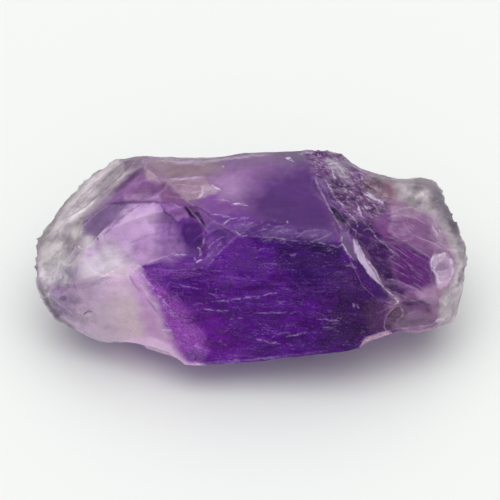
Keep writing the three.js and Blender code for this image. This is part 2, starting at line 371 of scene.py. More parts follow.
    "sliver": (
        [(354, 238), (356, 240), (361, 252), (368, 263), (376, 275), (384, 288), (377, 282), (368, 273),
         (360, 262), (355, 252)],
        1.5, (218, 194, 228), 0.9,
    ),
    "clear chip": (
        [(360, 347), (365, 339), (378, 334), (388, 331), (392, 334), (384, 341), (370, 347)],
        2, (212, 174, 196), 0.7,
    ),
}

# White lines, where the quartz is bruised, chipped or splintered, with painted highlights along the sliver
# and the far edge, and dark ones, where it is cracked or steps down, with painted shade along the lines named
# shade, the crease, the pit's floor and under the bevel: the corners of each, half its width in pixels and
# how strong it is, from 0 to 1.
WHITE_LINES = {
    # Painted highlights along the sliver's edges and tail.
    "sliver left": ([(354, 239), (356, 252), (362, 264), (370, 275), (379, 284), (386, 290)], 0.7, 0.9),
    "sliver right": ([(356, 239), (362, 252), (369, 262), (377, 274), (384, 287)], 0.6, 0.8),
    "sliver tail": ([(385, 288), (391, 294), (398, 302), (403, 311), (402, 317)], 0.9, 0.6),
    "blade edge": ([(341, 232), (342, 242), (349, 255), (357, 262)], 0.7, 0.5),
    "blade edge 2": ([(347, 232), (353, 244), (357, 258)], 0.5, 0.4),
    "ledge 1": ([(317, 172), (316, 181), (320, 190), (327, 203), (335, 218), (343, 232)], 0.7, 0.4),
    "ledge 2": ([(325, 180), (333, 194), (340, 203), (347, 212), (353, 217)], 0.9, 0.5),
    "streak a": ([(364, 194), (374, 198), (385, 204)], 1.2, 0.9),
    "streak b": ([(366, 192), (376, 197), (383, 201)], 0.6, 0.8),
    "crumb a": ([(332, 171), (334, 176), (336, 179)], 1, 0.7),
    "crumb b": ([(339, 176), (347, 177)], 0.8, 0.6),
    "crumb c": ([(334, 167), (341, 171), (346, 176)], 0.7, 0.5),
    "crumb d": ([(358, 206), (360, 210), (361, 215)], 1.1, 0.8),
    "crumb e": ([(364, 205), (368, 209), (373, 207)], 0.8, 0.6),
    "crumb f": ([(366, 211), (370, 206)], 0.7, 0.5),
    "crumb g": ([(327, 166), (333, 163), (339, 164)], 0.7, 0.5),
    "crumb h": ([(349, 190), (353, 193)], 0.7, 0.5),
    "hair 1": ([(382, 240), (389, 248), (396, 255)], 0.5, 0.5),
    "hair 2": ([(396, 255), (388, 259)], 0.5, 0.4),
    "hair 3": ([(368, 225), (376, 237), (386, 246)], 0.6, 0.45),
    "chip top": ([(430, 263), (434, 257), (440, 255), (448, 253)], 1.3, 0.9),
    "chip right": ([(448, 253), (452, 264), (453, 272), (449, 281)], 1.2, 0.9),
    "chip inner": ([(433, 270), (438, 262), (446, 255)], 0.8, 0.7),
    "chip foot": ([(436, 276), (443, 277), (448, 276)], 0.6, 0.5),
    "chip fold": ([(435, 271), (441, 272), (449, 270)], 0.6, 0.6),
    "chip spot": ([(437, 287), (437, 283), (442, 282)], 1.1, 0.8),
    "right line": ([(431, 222), (436, 232), (444, 243)], 0.6, 0.5),
    "right line 2": ([(436, 225), (441, 233)], 0.5, 0.4),
    "veil 1": ([(213, 199), (222, 200), (230, 202)], 0.6, 0.4),
    "bright veil": ([(231, 204), (240, 204), (249, 206)], 0.8, 0.75),
    "veil 2": ([(210, 214), (220, 215), (230, 217)], 0.6, 0.4),
    "veil 3": ([(222, 225), (230, 219), (238, 218)], 0.7, 0.45),
    "veil 4": ([(236, 220), (249, 217)], 0.5, 0.3),
    "veil 5": ([(244, 227), (256, 221)], 0.5, 0.3),
    "veil 6": ([(231, 232), (237, 226), (243, 223)], 0.5, 0.25),
    "bevel tip": ([(235, 231), (241, 236)], 0.6, 0.5),
    "bevel foot": ([(303, 241), (322, 243), (340, 248)], 0.6, 0.35),
    "bevel speck": ([(287, 220), (287, 223)], 0.8, 0.5),
    "flake top": ([(163, 180), (184, 179), (203, 177)], 0.9, 0.4),
    "flake right": ([(212, 185), (220, 190)], 1, 0.7),
    "flake foot": ([(196, 199), (202, 194), (203, 187)], 0.8, 0.6),
    "split": ([(171, 184), (180, 197), (190, 203), (202, 213), (216, 222), (236, 234)], 0.6, 0.2),
    "split 2": ([(187, 206), (196, 217), (205, 227)], 0.5, 0.4),
    "facet top": ([(163, 205), (172, 204), (181, 207)], 0.7, 0.25),
    "ring": ([(194, 257), (197, 262), (202, 260)], 0.9, 0.9),
    "ring 2": ([(204, 239), (204, 245)], 0.8, 0.7),
    "ring 3": ([(198, 247), (201, 252), (199, 258)], 0.8, 0.7),
    "chip hair": ([(207, 258), (214, 249), (222, 241)], 0.5, 0.35),
    "chip hair 2": ([(206, 250), (216, 240), (228, 236)], 0.5, 0.3),
    "white line": ([(171, 254), (179, 255), (188, 255)], 0.7, 0.6),
    "long streak": ([(210, 301), (222, 301), (236, 299), (259, 296), (284, 291)], 0.8, 0.5),
    "dash 2": ([(200, 309), (214, 310), (229, 311)], 0.7, 0.5),
    "dash 3": ([(254, 313), (273, 313), (288, 312)], 0.7, 0.5),
    "dash 4": ([(229, 320), (236, 318), (244, 318)], 0.6, 0.5),
    "frost a": ([(150, 293), (157, 303), (164, 315)], 1.2, 0.24),
    "frost b": ([(156, 311), (163, 317), (169, 326)], 1.3, 0.21),
    "frost c": ([(160, 299), (168, 311), (178, 319)], 0.9, 0.24),
    "frost d": ([(169, 309), (177, 316), (182, 326)], 1.2, 0.24),
    "frost e": ([(175, 326), (184, 333), (194, 342)], 1, 0.21),
    "frost f": ([(164, 334), (174, 339), (184, 344)], 1.3, 0.18),
    "frost g": ([(152, 276), (162, 288), (170, 300)], 0.8, 0.18),
    "frost h": ([(190, 318), (198, 328), (204, 338)], 0.8, 0.18),
    "low flake": ([(256, 339), (270, 342), (281, 344)], 1.4, 0.5),
    "dash 6": ([(285, 336), (296, 335), (307, 332)], 1, 0.45),
    "dash 7": ([(317, 319), (328, 320), (340, 321)], 0.7, 0.45),
    "dash 8": ([(161, 330), (171, 330)], 0.9, 0.8),
    "hook": ([(178, 283), (183, 286), (192, 287), (201, 290)], 0.6, 0.5),
    "tick": ([(353, 303), (355, 309)], 0.8, 0.6),
    "tick 2": ([(357, 304), (359, 309)], 0.6, 0.6),
    "edge line 1": ([(136, 267), (146, 279), (154, 290), (162, 299), (170, 307)], 1.1, 0.8),
    "edge line 4": ([(130, 268), (139, 282), (148, 295), (156, 304), (166, 314)], 0.7, 0.5),
    "edge line 2": ([(148, 307), (156, 313), (164, 319), (170, 327)], 0.9, 0.4),
    "edge line 3": ([(142, 287), (149, 298), (155, 306), (161, 313)], 0.8, 0.4),
    "hollow lip": ([(90, 282), (100, 278), (112, 272), (120, 268), (132, 265), (140, 266)], 0.7, 0.5),
    "low left edge": ([(66, 318), (80, 326), (96, 336), (110, 343)], 0.8, 0.35),
    "low left fold": ([(50, 293), (58, 303), (66, 313)], 0.8, 0.35),
    # Painted highlights along the far edge.
    "far edge": ([(160, 161), (185, 162), (205, 161), (230, 159), (250, 156), (275, 155)], 1, 0.2),
    "far edge 2": ([(298, 154), (310, 152), (322, 151)], 1.2, 0.45),
    "far specks": ([(286, 158), (290, 159), (294, 162)], 0.8, 0.8),
    "clear chip edge": ([(358, 347), (366, 340), (378, 334), (392, 330)], 0.6, 0.5),
    "clear chip foot": ([(364, 347), (374, 346), (384, 340), (391, 333)], 0.6, 0.5),
    "clear chip rib": ([(366, 345), (376, 338), (386, 334)], 0.5, 0.35),
    "bottom line": ([(190, 364), (230, 361), (278, 357), (330, 350)], 1, 0.35),
    "apex line": ([(146, 170), (154, 175), (160, 182)], 1.2, 0.3),
    "speck": ([(222, 166), (225, 167)], 0.7, 0.6),
    "fan 1": ([(240, 234), (248, 228), (258, 224)], 0.5, 0.15),
    "fan 2": ([(246, 236), (258, 231), (268, 229)], 0.5, 0.15),
    "fan 3": ([(238, 230), (243, 224), (247, 221)], 0.5, 0.15),
    "plate 1": ([(300, 239), (301, 234), (306, 231), (318, 230), (333, 231)], 0.7, 0.14),
    "plate 2": ([(273, 237), (277, 232), (286, 229), (297, 231), (295, 236), (288, 239)], 0.7, 0.12),
    "plate 3": ([(262, 225), (274, 226), (286, 225), (300, 229)], 0.5, 0.1),
    "bevel edge": ([(238, 235), (254, 236), (275, 238), (300, 241)], 0.6, 0.3),
    "flake fold": ([(176, 184), (190, 186), (204, 188)], 0.6, 0.3),
    "flake fold 2": ([(180, 191), (192, 193), (203, 190)], 0.6, 0.3),
    "low facet": ([(393, 327), (399, 319), (404, 315), (412, 312), (424, 311), (434, 314)], 0.8, 0.12),
    "low edge": ([(394, 329), (410, 328), (425, 326), (437, 323)], 0.8, 0.4),
    "low crumb": ([(434, 322), (440, 319), (446, 322)], 1.3, 0.8),
    "low crumb 2": ([(446, 320), (453, 317)], 1.1, 0.7),
    "brown line": ([(379, 299), (388, 301), (396, 303), (401, 310)], 0.7, 0.3),
    "crescent edge": ([(384, 278), (398, 281), (414, 288), (430, 299)], 0.7, 0.28),
    "crescent foot": ([(386, 288), (400, 295), (416, 302), (430, 307)], 0.6, 0.25),
    "shell top": ([(384, 222), (390, 217), (402, 215), (414, 217), (428, 225)], 0.8, 0.25),
    "shell fold": ([(389, 214), (400, 209), (412, 207), (424, 212)], 0.7, 0.3),
    "shell fold 2": ([(432, 226), (437, 236), (444, 246)], 0.7, 0.4),
    "chip left": ([(430, 263), (433, 270), (437, 276), (439, 285)], 1, 0.7),
    "right line 3": ([(444, 243), (449, 250), (451, 256)], 0.6, 0.4),
    "low crack": ([(50, 296), (60, 304), (70, 312), (86, 322)], 0.7, 0.45),
    "front edge": (
        [(146, 268), (166, 270), (188, 270), (206, 268), (216, 256), (228, 244), (237, 235)],
        0.6, 0.3,
    ),
    "corner line": ([(172, 346), (184, 344), (196, 346), (209, 352)], 0.7, 0.3),
    "neck 1": ([(371, 299), (382, 301), (394, 304)], 0.6, 0.25),
    "neck 2": ([(378, 313), (387, 308), (395, 306)], 0.6, 0.2),
    "neck 3": ([(384, 323), (391, 316), (397, 308)], 0.6, 0.25),
    "neck 4": ([(392, 329), (398, 320), (403, 314)], 0.7, 0.25),
    "cell 1": ([(347, 220), (352, 218), (357, 222), (358, 228)], 0.5, 0.3),
    "cell 2": ([(344, 223), (349, 229), (348, 236)], 0.5, 0.3),
    "cell 3": ([(351, 228), (356, 231), (356, 238)], 0.5, 0.3),
    "cell 4": ([(362, 232), (368, 229), (374, 232), (375, 238)], 0.5, 0.25),
    "cell 5": ([(362, 243), (369, 249), (375, 246)], 0.5, 0.2),
    "dash a": ([(223, 275), (232, 277), (241, 279)], 0.6, 0.25),
    "dash b": ([(208, 293), (214, 295), (221, 298)], 0.7, 0.3),
    "dash c": ([(193, 305), (200, 303), (209, 306)], 0.6, 0.3),
    "dash d": ([(258, 264), (280, 264), (300, 262)], 0.6, 0.3),
    "dash e": ([(275, 300), (280, 302), (286, 301)], 0.8, 0.4),
    "dash f": ([(290, 313), (300, 311), (305, 315)], 0.6, 0.35),
    "dash g": ([(324, 327), (334, 328)], 0.8, 0.4),
    "dash h": ([(270, 338), (282, 333), (292, 332)], 0.7, 0.3),
    "dash i": ([(168, 272), (186, 272), (206, 275)], 0.6, 0.25),
    "dash j": ([(345, 267), (350, 265), (357, 268)], 0.9, 0.4),
    "dash k": ([(290, 254), (294, 256), (297, 253)], 0.9, 0.35),
    "rind speck": ([(77, 245), (80, 248), (84, 249)], 0.8, 0.7),
}
DARK_LINES = {
    "crack": ([(185, 207), (190, 213), (196, 219)], 2.3, 0.9),
    "crack 2": ([(195, 212), (200, 218), (205, 227)], 1.8, 0.9),
    "facet edge": ([(161, 205), (165, 212), (177, 222)], 1, 0.6),
    "small crack": ([(201, 249), (208, 248)], 0.9, 0.7),
    "foot line": ([(108, 204), (130, 202), (164, 202)], 1.2, 0.6),
    # Painted shade along the crease in the hollow.
    "crease": ([(128, 244), (146, 237), (162, 232), (181, 222)], 1.2, 0.2),
    "shell line": ([(383, 237), (398, 242), (410, 247), (425, 256), (431, 260)], 1.2, 0.6),
    "bevel line": ([(314, 244), (330, 247), (343, 250)], 1.6, 0.8),
    "plate joint": ([(300, 240), (303, 231)], 0.6, 0.5),
    "plate joint 2": ([(318, 239), (322, 231)], 0.6, 0.5),
    "split shade": ([(218, 225), (236, 236)], 0.8, 0.6),
    "cleft": ([(331, 180), (340, 185), (352, 187)], 1.8, 0.8),
    "cleft 2": ([(347, 199), (355, 199), (363, 201)], 1.4, 0.8),
    "lip shade": ([(175, 271), (192, 271), (206, 268)], 0.7, 0.5),
    "low hollow": ([(402, 303), (412, 304), (420, 302), (430, 306)], 1.8, 0.6),
    "band edge": ([(140, 204), (126, 214), (114, 224), (103, 236)], 1.3, 0.35),
    "mark": ([(84, 315), (88, 311), (92, 312)], 1, 0.7),
    "low shade": ([(62, 284), (72, 287), (84, 286), (96, 282), (112, 276)], 2.2, 0.25),
    "edge crack": ([(129, 275), (134, 284), (142, 292)], 1.1, 0.35),
    "edge crack 2": ([(146, 298), (152, 305), (158, 313)], 1, 0.35),
    "low spot": ([(59, 297), (66, 300)], 2.4, 0.35),
    "low spot 2": ([(54, 310), (62, 315)], 2.4, 0.3),
    "dusk mark": ([(82, 222), (88, 220)], 2, 0.3),
    "dusk mark 2": ([(113, 191), (119, 190)], 2, 0.35),
    "rind line": ([(72, 212), (90, 194), (112, 173), (122, 163)], 0.8, 0.3),
    "rind line 2": ([(60, 222), (78, 200), (100, 178)], 0.8, 0.3),
    # Painted shade under the bevel.
    "under the bevel": ([(245, 238), (270, 240), (300, 243)], 1.2, 0.5),
    # Painted shade on the pit's floor.
    "pit floor": ([(331, 206), (338, 213), (345, 220)], 2.4, 0.6),
    "sliver shade": ([(359, 243), (366, 255), (374, 265), (382, 278)], 1, 0.4),
    "cell shade": ([(345, 226), (351, 227), (358, 226)], 1.2, 0.4),
    "front border": ([(353, 269), (360, 283), (371, 295), (386, 304)], 1.4, 0.6),
    "shell shade": ([(384, 219), (392, 222), (404, 221), (414, 224)], 1.3, 0.35),
    "shell shade 2": ([(386, 232), (398, 240), (410, 245), (424, 254)], 1.6, 0.5),
    "low right shade": ([(400, 318), (412, 322), (424, 320), (434, 321)], 2, 0.25),
    "flake shade": ([(184, 203), (194, 199), (206, 198)], 1, 0.3),
}

# Grey lines, painted shade: the dark edge that the stone shows along its outline.
GREY_LINES = {
    "left": (
        [(150, 156), (113, 157), (88, 180), (62, 204), (50, 226), (37, 246), (36, 272), (44, 300),
         (58, 320), (76, 333)],
        2.5, 0.7,
    ),
    "low left": ([(36, 256), (36, 272), (40, 288), (47, 304), (58, 318), (76, 330)], 2.5, 1),
    "right": (
        [(322, 149), (340, 152), (352, 162), (372, 176), (400, 180), (426, 181), (438, 194), (450, 216),
         (460, 240), (465, 262), (460, 282), (456, 296)],
        4, 0.75,
    ),
    "far": ([(160, 158), (200, 160), (262, 151), (322, 149)], 1.5, 0.8),
}


def pixels_of(places):
    """Where places in mm show in the photograph: pixels right, pixels down and mm towards the eye."""
    right, up, near = (places @ np.array([TO_THE_RIGHT, UP_THE_VIEW, TO_THE_EYE]).T).T
    larger = EYE_DISTANCE / (EYE_DISTANCE - near)
    across = MIDDLE_PX[0] + right * PX_PER_MM - PICTURE_PX / 2
    down = MIDDLE_PX[1] - (up - VIEW_MIDDLE) * PX_PER_MM - PICTURE_PX / 2
    return np.column_stack([across * larger + PICTURE_PX / 2, down * larger + PICTURE_PX / 2, near])


def within(corners, soft, pixels):
    """How far each pixel lies within the corners: 1 well inside, 0 outside, with an edge `soft` wide."""
    corners = np.array(corners)
    nearest = np.full(len(pixels), 1e9)
    inside = np.zeros(len(pixels), bool)
    for start, end in zip(corners, np.roll(corners, -1, axis=0)):
        side = end - start
        off = pixels[:, :2] - start
        share = np.clip(off @ side / (side @ side), 0, 1)
        nearest = np.minimum(nearest, np.linalg.norm(off - share[:, None] * side, axis=1))
        level = (start[1] > pixels[:, 1]) != (end[1] > pixels[:, 1])
        crossing = start[0] + (pixels[:, 1] - start[1]) / (side[1] if side[1] else 1e-9) * side[0]
        inside ^= level & (pixels[:, 0] < crossing)
    depth = np.where(inside, nearest, -nearest)
    return np.clip(depth / soft + 0.5, 0, 1)


def beside(corners, pixels):
    """How far each pixel is from a line through the corners, and where along the line that is, 0 to 1."""
    nearest = np.full(len(pixels), 1e9)
    along = np.zeros(len(pixels))
    corners = np.array(corners)
    length = np.linalg.norm(np.diff(corners, axis=0), axis=1).sum()
    passed = 0
    for start, end in zip(corners[:-1], corners[1:]):
        side = end - start
        off = pixels[:, :2] - start
        share = np.clip(off @ side / (side @ side), 0, 1)
        distance = np.linalg.norm(off - share[:, None] * side, axis=1)
        closer = distance < nearest
        nearest = np.where(closer, distance, nearest)
        along = np.where(closer, (passed + share * np.linalg.norm(side)) / length, along)
        passed += np.linalg.norm(side)
    return nearest, along


def triples(items, name):
    """Three numbers of each of a mesh's parts, such as the place of each point."""
    values = np.zeros(len(items) * 3)
    items.foreach_get(name, values)
    return values.reshape(-1, 3)


bpy.ops.object.select_all(action="DESELECT")
stone = bpy.data.objects.new("rough_amethyst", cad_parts["amethyst"].data.copy())
bpy.context.scene.collection.objects.link(stone)
bpy.context.view_layer.objects.active = stone
stone.select_set(True)
stone.data.materials.clear()
bpy.ops.object.mode_set(mode="EDIT")
bpy.ops.mesh.select_all(action="SELECT")
bpy.ops.mesh.remove_doubles(threshold=0.001 * MM)
bpy.ops.mesh.normals_make_consistent(inside=False)
bpy.ops.object.mode_set(mode="OBJECT")

remesh = stone.modifiers.new("fine skin", "REMESH")
remesh.mode = "SHARP"
remesh.octree_depth = 8
remesh.scale = 0.78
remesh.use_remove_disconnected = False
bpy.ops.object.modifier_apply(modifier=remesh.name)


def frame_in_view(pixel, slant, unit, stretch):
    """An empty at the point that shows at a pixel. Its axes run along a slant in degrees, across it and to
    the eye, `unit` mm to the step and `stretch` times as much along the slant."""
    turn = math.radians(slant)
    along = TO_THE_RIGHT * math.cos(turn) + UP_THE_VIEW * math.sin(turn)
    across = UP_THE_VIEW * math.cos(turn) - TO_THE_RIGHT * math.sin(turn)
    empty = bpy.data.objects.new("pattern frame", None)
    bpy.context.scene.collection.objects.link(empty)
    shown_at = np.hypot(*(pixels[:, :2] - pixel).T) - pixels[:, 2]
    empty.matrix_world = Matrix.LocRotScale(
        Vector(points[np.argmin(shown_at)]) * MM,
        Matrix((along, across, TO_THE_EYE)).transposed(),
        Vector((stretch, 1, 1)) * unit * MM,
    )
    return empty


def displace(name, share, height, texture=None, empty=None, way="NORMAL"):
    """Moves the skin by up to `height` mm where each point's share says, along a texture's pattern."""
    group = stone.vertex_groups.new(name=name)
    for point in np.flatnonzero(share):
        group.add([int(point)], share[point], "REPLACE")
    modifier = stone.modifiers.new(name, "DISPLACE")
    modifier.vertex_group = name
    modifier.strength = height * MM
    modifier.direction = way
    if texture:
        modifier.texture = texture
        modifier.texture_coords = "OBJECT"
        modifier.texture_coords_object = empty
    else:
        modifier.mid_level = 0
    bpy.ops.object.modifier_apply(modifier=name)
    stone.vertex_groups.clear()


RELIEF_SOFT = 7  # px, over which a relief ends


def relief(zones, height, kind, pattern, pixel=MIDDLE_PX, slant=0, unit=1, stretch=1, way="NORMAL"):
    """Raises and sinks the skin by a pattern within washes, `height` mm from its lowest to its highest."""
    share = lifted.copy()
    if zones:
        share *= np.max([within(WASHES[zone][0], RELIEF_SOFT, uneven) for zone in zones], axis=0)
    texture = bpy.data.textures.new(zones[0] if zones else "all over", kind)
    for setting, value in pattern.items():
        setattr(texture, setting, value)
    empty = frame_in_view(pixel, slant, unit, stretch)
    displace(texture.name, share, height, texture, empty, way)
    bpy.data.objects.remove(empty)


noise.seed_set(4)  # The noise is the same in each run.


def shift(places, size, height):
    """An uneven shift of up to about `height` for each place in mm, in swells of `size` mm."""
    return np.array([noise.noise_vector(Vector(place) / size) for place in places]) * height


# The skin's relief: drifts and swells all over, long ledges in the rind, steps and grains where the stone
# crumbled, ripples along the front face, striae in a right-hand shell, ripples down the bevel, the rings that
# a blow leaves, and lumps in the chip. The stone lies on its underside, so all of it fades out there.
FLAT_UP_TO = 0.3  # mm above the table
FADE_HEIGHT = 0.8
points = triples(stone.data.vertices, "co") / MM
pixels = pixels_of(points)
uneven = pixels + shift(points, 1.1, 4)
lifted = np.clip((points[:, 2] - FLAT_UP_TO) / FADE_HEIGHT, 0, 1)
CLOUDY = {"noise_scale": 1, "noise_depth": 2}
LUMPY = {"noise_scale": 1, "noise_depth": 3, "noise_type": "HARD_NOISE"}
RINGS = {"wood_type": "RINGNOISE", "noise_scale": 2, "turbulence": 6}
DRIFT = {"noise_scale": 1, "noise_depth": 2, "cloud_type": "COLOR"}
STEPS = {"noise_scale": 1}
relief(None, 0.25, "CLOUDS", DRIFT, unit=2.2, way="RGB_TO_XYZ")
relief(None, 0.15, "CLOUDS", CLOUDY, unit=4)
relief(["left rind", "low left end"], 0.06, "CLOUDS", LUMPY, slant=50, unit=0.9, stretch=3)
relief(["speckled rind", "low left end"], 0.03, "CLOUDS", LUMPY, unit=0.5)
relief(["right rind", "low right rind"], 0.05, "CLOUDS", LUMPY, slant=-60, unit=0.8, stretch=1.8)
relief(["crumbled shoulder"], 0.5, "VORONOI", STEPS, slant=-35, unit=1.1, stretch=2)
relief(["crumbled shoulder"], 0.12, "CLOUDS", LUMPY, slant=-35, unit=0.4, stretch=2)
relief(["front"], 0.04, "CLOUDS", LUMPY, slant=-3, unit=0.4, stretch=5)
relief(["striae"], 0.12, "CLOUDS", LUMPY, slant=-30, unit=0.3, stretch=7)
relief(["bevel"], 0.08, "CLOUDS", LUMPY, slant=24, unit=0.4, stretch=3)
relief(["hollow floor"], 0.02, "WOOD", RINGS, pixel=(165, 205), unit=3.4)
relief(["mauve shell"], 0.035, "WOOD", RINGS, pixel=(380, 206), unit=2.8)
relief(["chip face", "hollow deep"], 0.12, "CLOUDS", LUMPY, slant=40, unit=0.6, stretch=1.5)


def ragged_of(points):
    """The pixels of places in mm, shifted a little and unevenly, so that no line drawn by them is smooth."""
    return pixels_of(points) + shift(points, 0.35, 1) + shift(points, 0.1, 0.5)


# The skin is finer beside the lines, which are narrower than its faces.
BESIDE = 1.0  # px from a line
face_pixels = ragged_of(triples(stone.data.polygons, "center") / MM)
fine = np.zeros(len(face_pixels), bool)
for corners, half_width, _ in [*WHITE_LINES.values(), *DARK_LINES.values()]:
    fine |= beside(corners, face_pixels)[0] < half_width + BESIDE
fine &= triples(stone.data.polygons, "normal") @ np.array(TO_THE_EYE) > 0
bpy.ops.object.mode_set(mode="EDIT")
bpy.ops.mesh.select_mode(type="FACE")
bpy.ops.mesh.select_all(action="DESELECT")
bpy.ops.object.mode_set(mode="OBJECT")
stone.data.polygons.foreach_set("select", fine)
bpy.ops.object.mode_set(mode="EDIT")
bpy.ops.mesh.subdivide(number_cuts=1)
bpy.ops.object.mode_set(mode="OBJECT")


def drawn(lines, pixels, soft=0.7):
    """How strongly each pixel lies on one of the lines, which taper to their ends."""
    strongest = np.zeros(len(pixels))
    for corners, half_width, strength in lines.values():
        distance, along = beside(corners, pixels)
        width = half_width * (1.1 - (2 * along - 1) ** 4)
        strongest = np.maximum(strongest, np.clip((width - distance) / soft + 0.5, 0, 1) * strength)
    return strongest


# How squarely a place faces the eye, 1 to -1, says how much of a line or of the milkiness it has.
TURNING = 4  # from none to all of it within a quarter of that scale
MILK_WRAP = 0.6  # how far the milkiness goes on round the edge
LINES_RAISED = 0.03  # mm
LINES_SUNK = 0.05
points = triples(stone.data.vertices, "co") / MM
square_on = triples(stone.data.vertex_normals, "vector") @ np.array(TO_THE_EYE)
shown = np.clip(square_on * TURNING, 0, 1)
pixels = pixels_of(points)
ragged = ragged_of(points)
white = drawn(WHITE_LINES, ragged) * shown
dark = drawn(DARK_LINES, ragged) * shown
displace("white lines", white, LINES_RAISED)
displace("dark lines", dark, -LINES_SUNK)


def linear(colour):
    """A colour in the numbers of a picture, as the amounts of light that a material takes."""
    return (np.array(colour) / 255) ** 2.2


DEEP = (74, 30, 118)  # the colour where no wash is, and its milkiness
DEEP_MILK = 0.6
HIDDEN_MILK = 0.05  # the share of the milkiness that the hidden sides keep
MOST_WANDER = 12  # px, the softness up to which an edge wanders more
places = pixels + shift(points, 1.1, 1.5) + shift(points, 0.35, 1.2)
wander = shift(points, 1.5, 0.3) + shift(points, 0.4, 0.25)  # of a wash's edge, in shares of its softness
tint = np.tile(linear(DEEP), (len(points), 1))
milk = np.full(len(points), DEEP_MILK)
for corners, soft, colour, milky in WASHES.values():
    share = within(corners, soft, places + wander * min(soft, MOST_WANDER))
    tint += (linear(colour) - tint) * share[:, None]
    milk += (milky - milk) * share
milk *= HIDDEN_MILK + (1 - HIDDEN_MILK) * np.clip(square_on * TURNING + MILK_WRAP, 0, 1)


def ridges(mesh, points, normals):
    """How sharply each point stands out of the skin round it, in mm: above 0 on ridges, below in valleys."""
    ends = np.zeros(len(mesh.edges) * 2, int)
    mesh.edges.foreach_get("vertices", ends)
    one, other = ends.reshape(-1, 2).T
    around = np.zeros_like(points)
    count = np.zeros(len(points))
    for here, there in ((one, other), (other, one)):
        np.add.at(around, here, points[there])
        np.add.at(count, here, 1)
    sharp = ((points - around / count[:, None]) * normals).sum(axis=1)
    for _ in range(2):
        total = np.zeros(len(points))
        for here, there in ((one, other), (other, one)):
            np.add.at(total, here, sharp[there])
        sharp = (sharp + total / count) / 2
    return sharp


def write(name, values):
    """Puts a number or a colour on each of the stone's points, for the material to read."""
    if values.ndim == 1:
        stone.data.attributes.new(name, "FLOAT", "POINT").data.foreach_set("value", values)
        return
    shades = np.column_stack([values, np.ones(len(values))])
    stone.data.attributes.new(name, "FLOAT_COLOR", "POINT").data.foreach_set("color", shades.ravel())


def zone(names, soft):
    """How far each point lies within any of the named washes, 0 to 1."""
    return np.max([within(WASHES[name][0], soft, places) for name in names], axis=0)


SHARP_RIDGE = 0.02  # mm
SHARP_VALLEY = 0.012
sharp = ridges(stone.data, points, triples(stone.data.vertex_normals, "vector"))
rinds = zone(["left rind", "low left end", "right rind", "low right rind"], soft=8)
rinds = np.maximum(rinds, zone(["dusk band", "grey top", "dusk streak"], soft=5) * 0.6)
crumbs = zone(["crumbled shoulder"], soft=10)
crumbs += zone(["chip face", "right dark", "dark hollow"], soft=8) * 0.25
crumbs *= 1 - zone(["pit", "dark chip", "dark hollow", "below the sliver"], soft=6) * 0.8
write("tint", tint)
write("milk", milk)
write("white", white)
write("dark", dark)
write("ridge", np.clip(sharp / SHARP_RIDGE, 0, 1))
write("valley", np.clip(-sharp / SHARP_VALLEY, 0, 1))
# Painted shade along the outline.
write("rim", drawn(GREY_LINES, places, soft=3))
write("rind", rinds)
write("front", zone(["front"], soft=6))
write("crumb", crumbs)
write("bevel", zone(["left bevel", "bevel"], soft=6))
write("frost", zone(["frosted left"], soft=14))
write("striae", zone(["striae"], soft=10) + zone(["mauve shell", "its light band"], soft=8) * 0.7)


class Value:
    """A node's output that takes part in Python expressions."""

    def __init__(self, finish, socket):
        self.finish = finish
        self.socket = socket

    def math(self, operation, *values):
        return self.finish.node("Math", {"operation": operation}, dict(enumerate((self, *values))))

    def __add__(self, other):
        return self.math("ADD", other)

    def __sub__(self, other):
        return self.math("SUBTRACT", other)

    def __mul__(self, other):
        return self.math("MULTIPLY", other)

    def __rsub__(self, other):
        return self.finish.node("Math", {"operation": "SUBTRACT"}, {0: other, 1: self})

    __radd__ = __add__
    __rmul__ = __mul__


class Finish:
    """A material, or the room's light, whose nodes are made one after the other."""

    def __init__(self, owner):
        self.owner = owner
        owner.use_nodes = True
        self.tree = owner.node_tree
        self.tree.nodes.clear()

    def node(self, kind, settings=None, sockets=None, output=0):
        made = self.tree.nodes.new("ShaderNode" + kind)
        for setting, value in (settings or {}).items():
            setattr(made, setting, value)
        for key, value in (sockets or {}).items():
            if isinstance(value, Value):
                self.tree.links.new(value.socket, made.inputs[key])
            else:
                made.inputs[key].default_value = value
        return Value(self, made.outputs[output]) if made.outputs else None


quartz = Finish(bpy.data.materials.new("violet quartz"))


def painted(name):
    """A number that was written on the stone's points."""
    return quartz.node("Attribute", {"attribute_name": name}, output=2)


def blend(share, one, other):
    return quartz.node("Mix", {"data_type": "RGBA"}, {0: share, 6: one, 7: other}, output=2)


def ramp(value, start, end, low=0, high=1):
    """Goes smoothly from low to high while the value goes from start to end."""
    settings = {"interpolation_type": "SMOOTHSTEP"}
    return quartz.node("MapRange", settings, {0: value, 1: start, 2: end, 3: low, 4: high})


# Places in mm along the axes of the view.
whole = quartz.node("TexCoord", output=3)
turned = {"Rotation": (SIGHT - math.pi / 2, 0, 0), "Scale": (1 / MM, 1 / MM, 1 / MM)}
in_view = quartz.node("Mapping", {}, {"Vector": whole, **turned})


def grain(slant, length, width, detail=3, roughness=0.6, wavy=0.0):
    """A noise that lies along a slant in degrees in the view, with grains of that length and width in mm."""
    lying = quartz.node("Mapping", {}, {"Vector": in_view, "Rotation": (0, 0, -math.radians(slant))})
    scaled = quartz.node("Mapping", {}, {"Vector": lying, "Scale": (1 / length, 1 / width, 1 / width)})
    kind = {"Scale": 1.0, "Detail": detail, "Roughness": roughness, "Distortion": wavy}
    return quartz.node("TexNoise", {}, {"Vector": scaled, **kind})


def thin_lines(noise_value, width):
    """1 on the lines where a noise crosses its middle, 0 beside them."""
    middle = (noise_value - 0.5).math("ABSOLUTE")
    return ramp(middle, 0, width, 1, 0)


front = painted("front")
rind = painted("rind")
crumb = painted("crumb")
striae = painted("striae")

